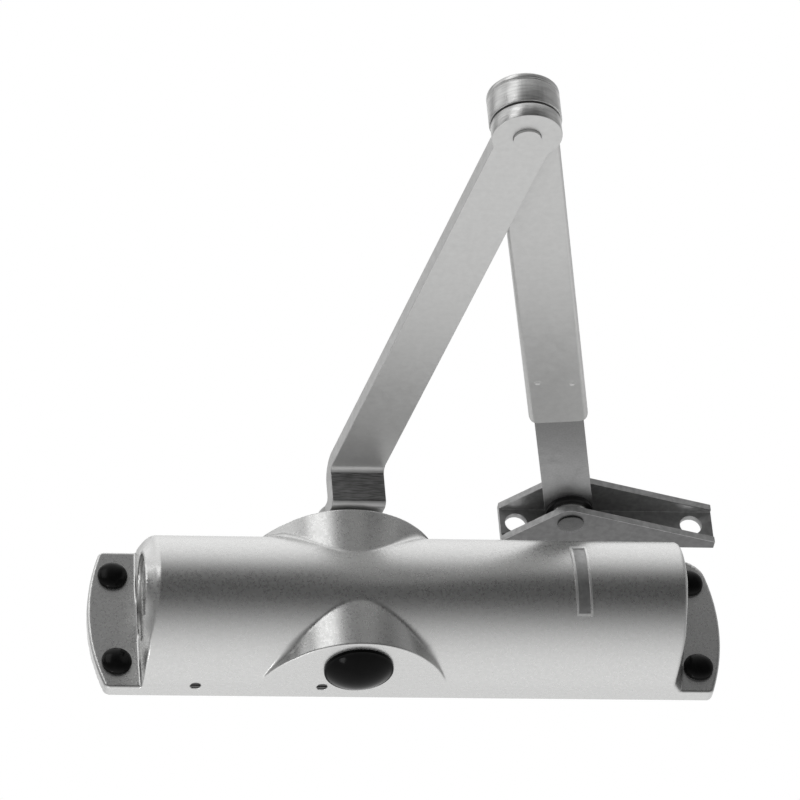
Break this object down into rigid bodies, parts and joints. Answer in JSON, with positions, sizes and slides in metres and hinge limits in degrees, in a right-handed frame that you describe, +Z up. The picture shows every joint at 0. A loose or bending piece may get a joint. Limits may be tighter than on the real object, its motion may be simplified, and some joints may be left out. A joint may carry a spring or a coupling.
{
  "type": "overhead door closer",
  "caption": "Surface-mounted overhead door closer: rack-and-pinion spring body with a folding two-piece arm, length-adjustable forearm and frame bracket.",
  "frame": {"origin": "middle of the four fixing screws, on the door face behind the casting", "axes": "+Z up, +X to the right seen from the room, +Y from the room into the door; the body stands off the door towards -Y"},
  "size_m": [0.2339, 0.2531, 0.1079],
  "materials": {
    "casting_paint": "fine metallic silver paint",
    "arm_silver": "satin silver",
    "bright_steel": "polished and lightly worn",
    "plain_steel": "machined",
    "bracket_steel": "dull grey, bright cut edges",
    "black_steel": "gloss black",
    "cap_black": "gloss black",
    "badge_plate": "plain satin plate",
    "black_rubber": "black oil seal rubber",
    "black_nylon": "black nylon",
    "bronze": "sintered bronze",
    "spring_steel": "blued spring wire"
  },
  "bodies": {
    "housing": {"body_casting": "casting_paint", "left_end_plug": "casting_paint", "right_end_plug": "casting_paint", "end_plug_seals": "black_rubber", "upper_gland": "plain_steel", "lower_bearing": "plain_steel", "shaft_seal": "black_rubber", "spindle_cap": "cap_black", "blank_badge": "badge_plate", "fixing_screws": "black_steel", "closing_spring": "spring_steel"},
    "spindle": {"pinion_shaft": "plain_steel", "main_arm": "arm_silver", "arm_washer": "plain_steel", "arm_screw": "plain_steel", "elbow_rivet": "arm_silver", "elbow_washer": "black_nylon"},
    "piston": {"piston": "plain_steel", "piston_seals": "black_nylon", "check_valve_retainer": "plain_steel"},
    "check_ball": {"check_valve_ball": "bright_steel"},
    "forearm": {"elbow_knuckle": "bright_steel", "elbow_bush": "bronze", "knuckle_cap": "arm_silver", "forearm_sleeve": "arm_silver", "clamp_nut": "plain_steel", "clamp_screw": "plain_steel"},
    "bar": {"forearm_bar": "arm_silver", "pivot_bushes": "black_nylon"},
    "bracket": {"frame_bracket": "bracket_steel", "pivot_collars": "bright_steel", "bracket_pin": "bright_steel"},
    "closing_valve": {"closing_valve": "black_steel", "closing_valve_seal": "black_rubber"},
    "latching_valve": {"latching_valve": "black_steel", "latching_valve_seal": "black_rubber"}
  },
  "joints": [
    {"name": "spindle_turn", "type": "hinge", "parent": "housing", "child": "spindle", "pos_m": [-0.0205, -0.0184, 0], "axis": [0, 0, 1], "range_deg": [0, 160], "stiffness_Nm_per_rad": 3, "springref_deg": -28.65},
    {"name": "piston_slide", "type": "slide", "parent": "housing", "child": "piston", "axis": [1, 0, 0], "range_m": [0, 0.021], "deforming": ["closing_spring"]},
    {"name": "check_valve_lift", "type": "slide", "parent": "piston", "child": "check_ball", "axis": [1, 0, 0], "range_m": [0, 0.0012]},
    {"name": "elbow_hinge", "type": "hinge", "parent": "spindle", "child": "forearm", "pos_m": [0.01527, -0.22127, 0], "axis": [0, 0, 1], "range_deg": [-150, 5]},
    {"name": "forearm_length", "type": "slide", "parent": "forearm", "child": "bar", "axis": [0.2164, 0.9763, 0], "range_m": [-0.03, 0.04]},
    {"name": "bracket_pivot", "type": "hinge", "parent": "bar", "child": "bracket", "pos_m": [0.06549, 0.00523, 0], "axis": [0, 0, 1], "range_deg": [-90, 75]},
    {"name": "closing_valve_turn", "type": "hinge", "parent": "housing", "child": "closing_valve", "pos_m": [-0.0765, -0.0063, -0.0286], "axis": [0, 0, 1], "range_deg": [-360, 720]},
    {"name": "latching_valve_turn", "type": "hinge", "parent": "housing", "child": "latching_valve", "pos_m": [-0.032, -0.0063, -0.0286], "axis": [0, 0, 1], "range_deg": [-360, 720]}
  ],
  "couplings": [
    {"joint": "piston_slide", "follows": "spindle_turn", "m_per_rad": 0.0075}
  ]
}
